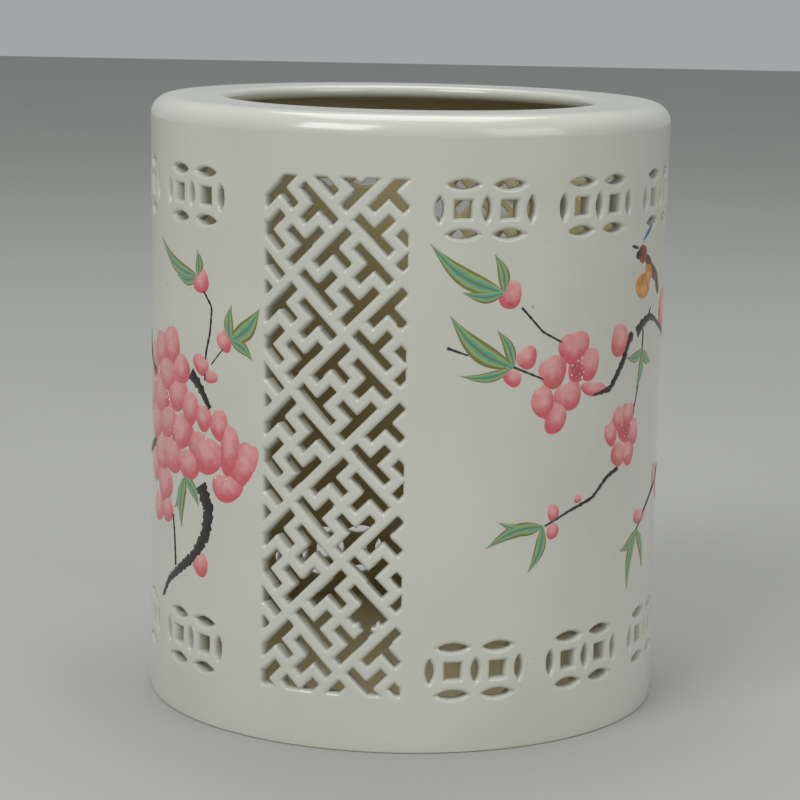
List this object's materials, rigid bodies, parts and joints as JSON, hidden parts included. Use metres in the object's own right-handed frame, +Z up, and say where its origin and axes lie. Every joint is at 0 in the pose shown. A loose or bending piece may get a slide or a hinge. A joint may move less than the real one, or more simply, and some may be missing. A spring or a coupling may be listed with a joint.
{
  "type": "brush pot",
  "caption": "Cylindrical porcelain brush pot with an inturned flat rim, pierced diagonal fret panels and bands of pierced coin pairs.",
  "frame": {"origin": "centre of the foot ring on the ground", "axes": "+Z up along the pot's axis, -Y towards the viewer, +X to the viewer's right"},
  "size_m": [0.104, 0.104, 0.12],
  "materials": {
    "glaze": "glossy",
    "bare_paste": "matte"
  },
  "bodies": {
    "root": {"rim_ring": "glaze", "fret_panel_front": "glaze", "fret_panel_back": "glaze", "painted_wall_right": "glaze", "painted_wall_left": "glaze", "floor_disc": "glaze", "foot_ring": "bare_paste"}
  },
  "joints": []
}
